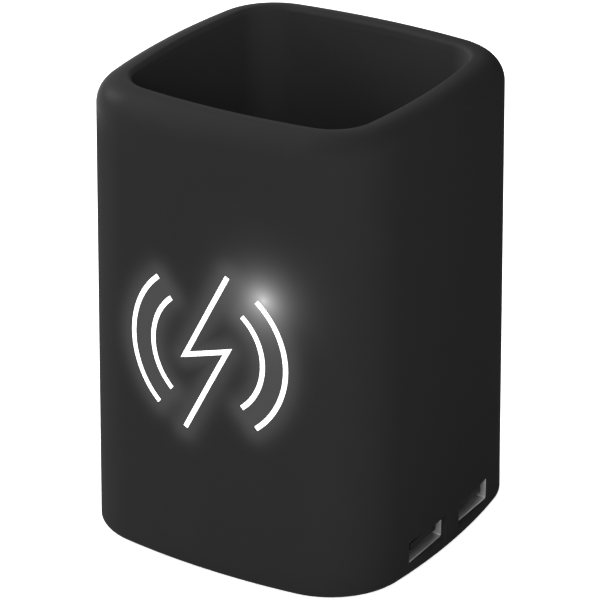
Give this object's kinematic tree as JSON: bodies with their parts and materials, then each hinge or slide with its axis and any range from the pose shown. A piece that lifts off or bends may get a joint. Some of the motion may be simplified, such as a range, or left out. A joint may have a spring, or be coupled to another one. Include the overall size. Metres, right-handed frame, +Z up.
{
  "type": "wireless charger pen holder",
  "caption": "Upright rounded-square pen holder in soft-touch black with a charging coil in its back wall, a lit front pictogram and side USB outlets.",
  "frame": {"origin": "centre of the underside of the feet, on the surface that the holder stands on", "axes": "+Z up, -Y out of the front wall with the lit mark, +X out of the wall with the USB-A outlets"},
  "size_m": [0.0778, 0.0778, 0.1046],
  "materials": {
    "shell_soft_touch": "matte soft-touch black",
    "cup_plastic": "matte black, fine grain",
    "base_plastic": "matte black, fine grain",
    "foot_rubber": "matte",
    "screw_steel": "bright",
    "connector_steel": "satin",
    "connector_plastic": "matte",
    "contact_gold": "gold plated",
    "light_guide_clear": "milky, lit white",
    "reflector_white": "satin film",
    "led_board_white": "white solder mask",
    "led_lens": "clear over phosphor",
    "coil_copper": "enamelled copper",
    "ferrite_grey": "dull ceramic",
    "board_green": "green solder mask",
    "chip_black": "moulded",
    "capacitor_ceramic": "ceramic body",
    "capacitor_can": "satin can",
    "header_nylon": "natural nylon",
    "lead_red": "insulation",
    "lead_black": "insulation"
  },
  "bodies": {
    "root": {"outer_shell": "shell_soft_touch", "inner_cup": "cup_plastic", "base_cover": "base_plastic", "foot_1": "foot_rubber", "foot_2": "foot_rubber", "foot_3": "foot_rubber", "foot_4": "foot_rubber", "base_screw_1": "screw_steel", "base_screw_2": "screw_steel", "base_screw_3": "screw_steel", "base_screw_4": "screw_steel", "cup_screw_1": "screw_steel", "cup_screw_2": "screw_steel", "cup_screw_3": "screw_steel", "cup_screw_4": "screw_steel", "board_screw_1": "screw_steel", "board_screw_2": "screw_steel", "board_screw_3": "screw_steel", "board_screw_4": "screw_steel", "usb_a_shell_1": "connector_steel", "usb_a_shell_2": "connector_steel", "usb_c_shell": "connector_steel", "usb_a_tongue_1": "connector_plastic", "usb_a_tongue_2": "connector_plastic", "usb_c_tongue": "connector_plastic", "usb_a_contact_1_1": "contact_gold", "usb_a_contact_1_2": "contact_gold", "usb_a_contact_1_3": "contact_gold", "usb_a_contact_1_4": "contact_gold", "usb_a_contact_2_1": "contact_gold", "usb_a_contact_2_2": "contact_gold", "usb_a_contact_2_3": "contact_gold", "usb_a_contact_2_4": "contact_gold", "light_guide": "light_guide_clear", "reflector_film": "reflector_white", "led_board": "led_board_white", "led_1": "led_lens", "led_2": "led_lens", "led_3": "led_lens", "led_4": "led_lens", "charging_coil": "coil_copper", "coil_ferrite": "ferrite_grey", "power_inductor": "ferrite_grey", "main_board": "board_green", "control_chip": "chip_black", "power_regulator": "chip_black", "resonance_capacitor_1": "capacitor_ceramic", "resonance_capacitor_2": "capacitor_ceramic", "resonance_capacitor_3": "capacitor_ceramic", "bulk_capacitor": "capacitor_can", "led_header": "header_nylon", "coil_header": "header_nylon", "coil_lead_inner": "lead_red", "led_lead_inner": "lead_red", "coil_lead_outer": "lead_black", "led_lead_outer": "lead_black"}
  },
  "joints": []
}
